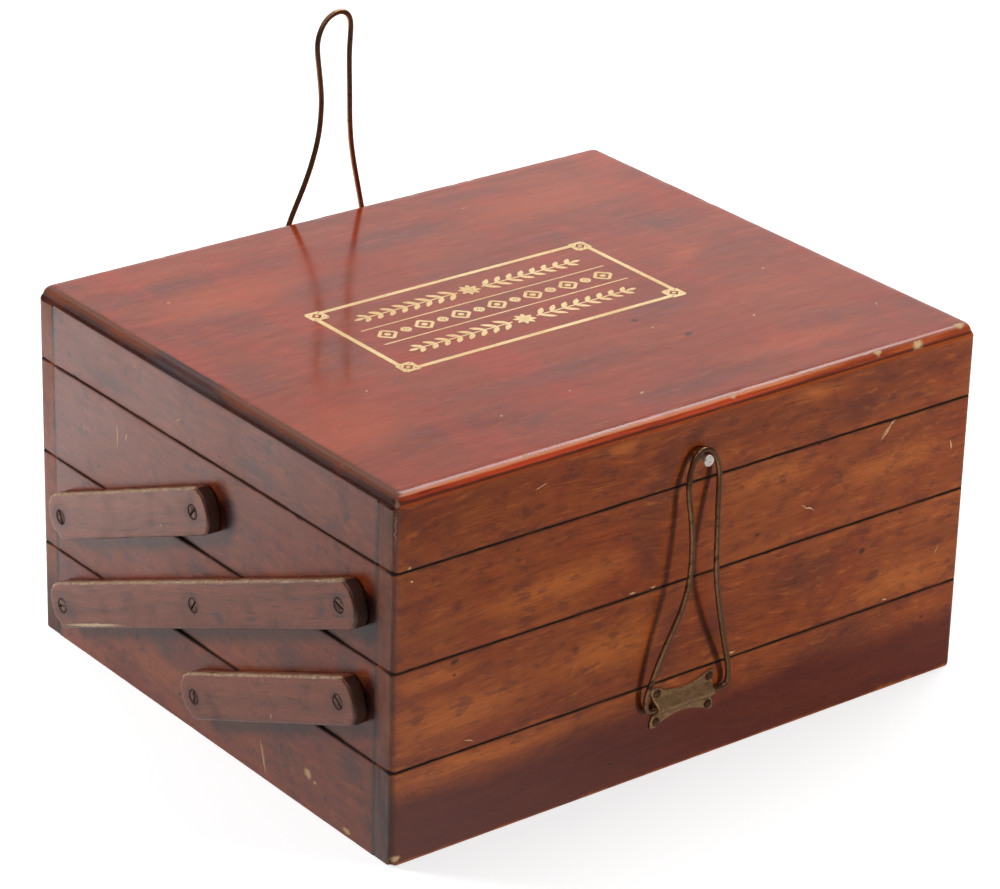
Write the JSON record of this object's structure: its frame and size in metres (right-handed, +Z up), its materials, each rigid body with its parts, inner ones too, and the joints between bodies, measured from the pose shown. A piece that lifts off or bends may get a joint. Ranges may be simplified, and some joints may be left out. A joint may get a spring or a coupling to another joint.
{
  "type": "harmonica case",
  "caption": "Folding wooden case for harmonicas: stepped trays on swinging link arms, a hinged lid, and wire hoop latches at the front and the back.",
  "frame": {"origin": "centre of the underside of the base tray", "axes": "+X to the right of someone facing the front latch, along the width; +Y to the back; +Z up"},
  "size_m": [0.318, 0.2726, 0.2555],
  "materials": {
    "case_wood": "gloss red-brown varnish on mahogany",
    "lid_top_wood": "gloss red-brown varnish, worn at the edges",
    "arm_wood": "worn satin varnish",
    "inner_wood": "matt, unvarnished",
    "brass": "dull, tarnished",
    "screw_steel": "dull, with dark slots",
    "spring_wire": "tarnished, smooth",
    "stud_nickel": "bright nickel plate"
  },
  "bodies": {
    "base": {"base_front": "case_wood", "base_rear": "case_wood", "base_left": "case_wood", "base_right": "case_wood", "base_bottom": "inner_wood", "base_divider": "inner_wood", "base_pivot_screws": "screw_steel", "front_bracket": "brass", "front_bracket_nails": "brass", "rear_stud": "stud_nickel"},
    "middle_tray": {"middle_front": "case_wood", "middle_rear": "case_wood", "middle_left": "case_wood", "middle_right": "case_wood", "middle_bottom": "inner_wood", "middle_divider": "inner_wood", "middle_pivot_screws": "screw_steel"},
    "upper_tray": {"upper_front": "case_wood", "upper_rear": "case_wood", "upper_left": "case_wood", "upper_right": "case_wood", "upper_bottom": "inner_wood", "upper_divider": "inner_wood", "upper_pivot_screws": "screw_steel", "tray_hinge_leaf_left": "brass", "tray_hinge_leaf_right": "brass", "tray_hinge_screws": "screw_steel", "hinge_pin_left": "brass", "hinge_pin_right": "brass"},
    "lid": {"lid_front": "case_wood", "lid_rear": "case_wood", "lid_left": "case_wood", "lid_right": "case_wood", "lid_top": "lid_top_wood", "front_stud": "stud_nickel", "lid_hinge_leaf_left": "brass", "lid_hinge_leaf_right": "brass", "lid_hinge_screws": "screw_steel", "rear_bracket": "brass", "rear_bracket_nails": "brass"},
    "front_hoop": {"front_hoop": "spring_wire"},
    "rear_hoop": {"rear_hoop": "spring_wire"},
    "long_arm_left": {"long_arm_left": "arm_wood"},
    "lower_arm_left": {"lower_arm_left": "arm_wood"},
    "upper_arm_left": {"upper_arm_left": "arm_wood"},
    "long_arm_right": {"long_arm_right": "arm_wood"},
    "lower_arm_right": {"lower_arm_right": "arm_wood"},
    "upper_arm_right": {"upper_arm_right": "arm_wood"}
  },
  "joints": [
    {"name": "fold", "type": "hinge", "parent": "base", "child": "long_arm_left", "pos_m": [-0.1559, 0.104, 0.022], "axis": [-1, 0, 0], "range_deg": [0, 134.5]},
    {"name": "middle_tray_on_long_arm", "type": "hinge", "parent": "long_arm_left", "child": "middle_tray", "pos_m": [-0.1559, 0.0015, 0.06475], "axis": [-1, 0, 0], "range_deg": [-134.5, 0]},
    {"name": "upper_tray_on_long_arm", "type": "hinge", "parent": "long_arm_left", "child": "upper_tray", "pos_m": [-0.1559, -0.101, 0.1075], "axis": [-1, 0, 0], "range_deg": [-134.5, 0]},
    {"name": "long_arm_right_pivot", "type": "hinge", "parent": "base", "child": "long_arm_right", "pos_m": [0.1559, 0.104, 0.022], "axis": [-1, 0, 0], "range_deg": [0, 134.5]},
    {"name": "lower_arm_left_pivot", "type": "hinge", "parent": "base", "child": "lower_arm_left", "pos_m": [-0.1559, 0.0015, 0.022], "axis": [-1, 0, 0], "range_deg": [0, 134.5]},
    {"name": "lower_arm_right_pivot", "type": "hinge", "parent": "base", "child": "lower_arm_right", "pos_m": [0.1559, 0.0015, 0.022], "axis": [-1, 0, 0], "range_deg": [0, 134.5]},
    {"name": "upper_arm_left_pivot", "type": "hinge", "parent": "middle_tray", "child": "upper_arm_left", "pos_m": [-0.1559, 0.104, 0.06475], "axis": [-1, 0, 0], "range_deg": [0, 134.5]},
    {"name": "upper_arm_right_pivot", "type": "hinge", "parent": "middle_tray", "child": "upper_arm_right", "pos_m": [0.1559, 0.104, 0.06475], "axis": [-1, 0, 0], "range_deg": [0, 134.5]},
    {"name": "lid_hinge", "type": "hinge", "parent": "upper_tray", "child": "lid", "pos_m": [0, 0.1316, 0.13], "axis": [-1, 0, 0], "range_deg": [0, 100]},
    {"name": "front_latch", "type": "hinge", "parent": "base", "child": "front_hoop", "pos_m": [-0.0035, -0.131, 0.03125], "axis": [1, 0, 0], "range_deg": [0, 104]},
    {"name": "rear_latch", "type": "hinge", "parent": "lid", "child": "rear_hoop", "pos_m": [-0.0015, 0.131, 0.141], "axis": [-1, 0, 0], "range_deg": [0, 80]}
  ],
  "couplings": [
    {"joint": "middle_tray_on_long_arm", "follows": "fold", "ratio": -1},
    {"joint": "upper_tray_on_long_arm", "follows": "fold", "ratio": -1},
    {"joint": "long_arm_right_pivot", "follows": "fold", "ratio": 1},
    {"joint": "lower_arm_left_pivot", "follows": "fold", "ratio": 1},
    {"joint": "lower_arm_right_pivot", "follows": "fold", "ratio": 1},
    {"joint": "upper_arm_left_pivot", "follows": "fold", "ratio": 1},
    {"joint": "upper_arm_right_pivot", "follows": "fold", "ratio": 1}
  ]
}
